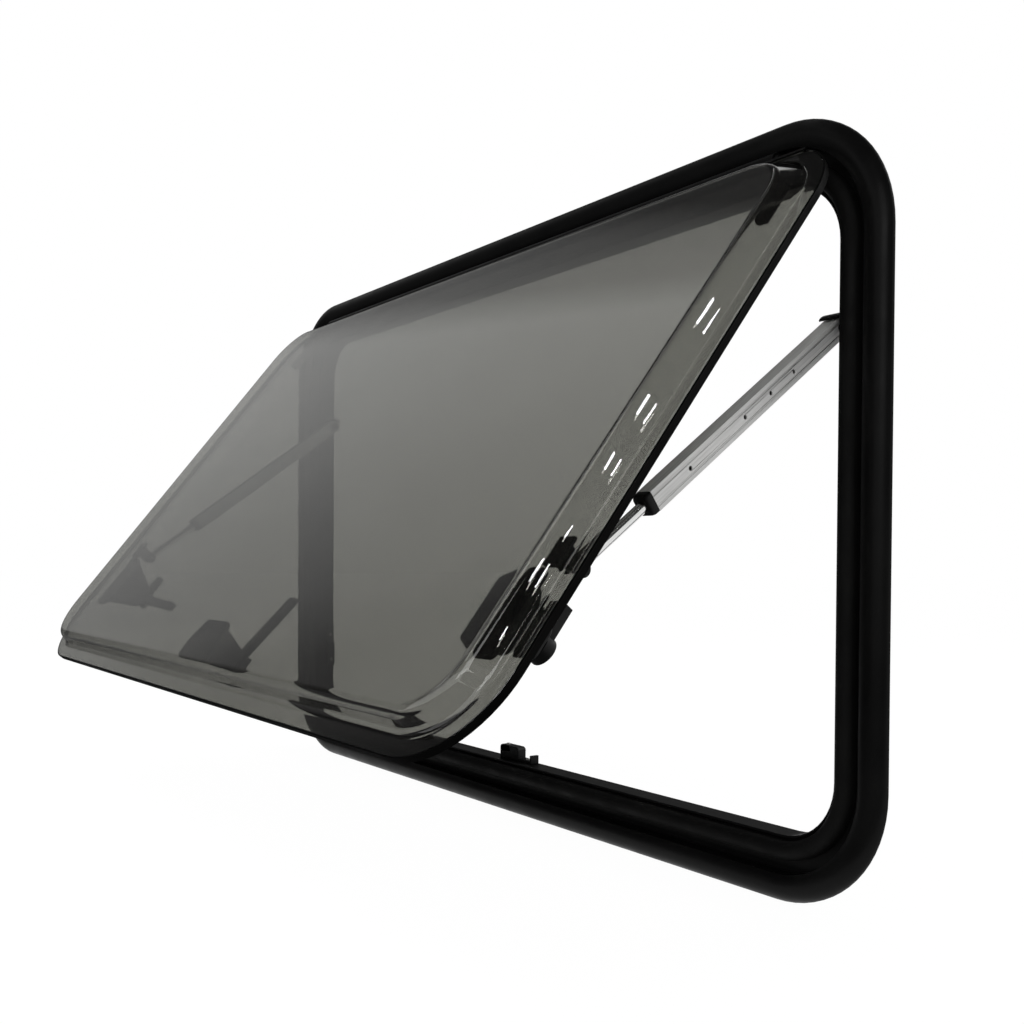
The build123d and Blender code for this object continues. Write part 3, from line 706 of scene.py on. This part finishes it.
def reflectionCard(name):
    # a card that only reflections show, clear to a ray that has merely passed through the panes
    c = reflectionCards[name]
    data = bpy.data.meshes.new(name)
    data.from_pydata(c["corners"], [], [tuple(range(len(c["corners"])))])
    card = bpy.data.objects.new(name, data)
    scene.collection.objects.link(card)
    material, tree, shader = newMaterial(f"{name}Light")
    tree.nodes.remove(shader)
    split = tree.nodes.new("ShaderNodeSeparateXYZ")
    tree.links.new(objectCoords(tree), split.inputs["Vector"])
    low, high = c["stops"][0][0], c["stops"][-1][0]
    share = spread(tree, split.outputs["Y"], low, high, 0, 1)
    most = max(light for place, light in c["stops"])
    stops = [((place - low) / (high - low), (light / most,) * 3) for place, light in c["stops"]]
    glow = addNode(tree, "ShaderNodeEmission", in_Strength=most)
    tree.links.new(colourRamp(tree, share, stops), glow.inputs["Color"])
    path = tree.nodes.new("ShaderNodeLightPath")
    mirrored = addNode(tree, "ShaderNodeMath", operation="GREATER_THAN")
    mirrored.inputs[1].default_value = 0.5
    tree.links.new(path.outputs["Glossy Depth"], mirrored.inputs[0])
    clear = tree.nodes.new("ShaderNodeBsdfTransparent")
    mixShaders(tree, mirrored.outputs[0], clear, glow, tree.nodes["Material Output"])
    data.materials.append(material)
    for kind in ("camera", "diffuse", "volume_scatter", "shadow"):
        setattr(card, f"visible_{kind}", False)


softBoxes = {  # place, aim, size, watts
    "overheadBox": ((-0.6, -1.4, 2.4), (0, 0, 0.3), (1.4, 1.0), 16),
    "frontBox": ((1.9, -1.6, 1.3), (0, 0, 0.3), (1.2, 1.2), 12),
    "insideBox": ((0.9, 1.6, 1.4), (0, 0, 0.3), (1.2, 1.0), 12),
}
ceilingTubes = {  # one line of tubes overhead, which shows as streaks on the sash's right wall
    "start": (2.384, -0.010), "height": 2.6, "heading": -38.3, "width": 0.007, "spacing": 0.034, "glow": 26.0,
    "groups": ((0.00, -0.010, 2, 0.12), (0.47, -0.020, 2, 0.11), (0.78, -0.015, 2, 0.10), (1.23, 0.000, 1, 0.08),
               (1.55, -0.025, 2, 0.17), (2.05, 0.007, 1, 0.12)),  # distance along, first offset, count, length
}


def addLamp(name, place, aim, size, watts):
    light = bpy.data.lights.new(name, "AREA")
    light.shape = "RECTANGLE"
    light.size, light.size_y = size
    light.energy = watts
    lamp = bpy.data.objects.new(name, light)
    lamp.location = place
    lamp.rotation_euler = (Vector(aim) - Vector(place)).to_track_quat("-Z", "Y").to_euler()
    scene.collection.objects.link(lamp)
    return lamp


def studioLights():
    for name, (place, aim, size, watts) in softBoxes.items():
        lamp = addLamp(name, place, aim, size, watts)
        lamp.visible_glossy = name != "overheadBox"  # it would draw a broad band along the sash's shoulder
    c = ceilingTubes
    heading = math.radians(c["heading"])
    along = Vector((math.cos(heading), math.sin(heading), 0))
    across = Vector((-along.y, along.x, 0))
    for group, (reach, offset, count, length) in enumerate(c["groups"]):
        watts = c["glow"] * math.pi * c["width"] * length
        for index in range(count):
            place = Vector((*c["start"], c["height"])) + along * reach + across * (offset + index * c["spacing"])
            below = place - Vector((0, 0, 1))
            lamp = addLamp(f"ceilingTube{group}{index}", place, below, (length, c["width"]), watts)
            lamp.rotation_euler = (0, 0, heading)
            lamp.visible_diffuse = False


photoCamera = {"focal": 1092.7, "centre": (511.2, 573.0), "turn": 54.15, "pitch": -0.83, "roll": 0.41,
               "place": (0.9239, -0.6520, 0.2498), "frame": 1024, "sensor": 36.0, "near": 0.01}


def studioCamera():
    c = photoCamera
    turn, pitch, roll = (math.radians(c[key]) for key in ("turn", "pitch", "roll"))
    ahead = Vector((-math.sin(turn) * math.cos(pitch), math.cos(turn) * math.cos(pitch), math.sin(pitch)))
    right = Vector((math.cos(turn), math.sin(turn), 0))
    up = right.cross(ahead)
    leanRight = right * math.cos(roll) + up * math.sin(roll)
    leanUp = up * math.cos(roll) - right * math.sin(roll)
    data = bpy.data.cameras.new("photoCamera")
    data.sensor_width = c["sensor"]
    data.lens = c["focal"] * c["sensor"] / c["frame"]
    data.shift_x = (c["frame"] / 2 - c["centre"][0]) / c["frame"]
    data.shift_y = (c["centre"][1] - c["frame"] / 2) / c["frame"]
    data.clip_start = c["near"]
    camera = bpy.data.objects.new("photoCamera", data)
    basis = Matrix((leanRight, leanUp, -ahead)).transposed().to_4x4()
    camera.matrix_world = Matrix.Translation(c["place"]) @ basis
    scene.collection.objects.link(camera)
    scene.camera = camera


studioWorld()
studioFloor()
for cardName in reflectionCards:
    reflectionCard(cardName)
studioLights()
studioCamera()
print("studio set")
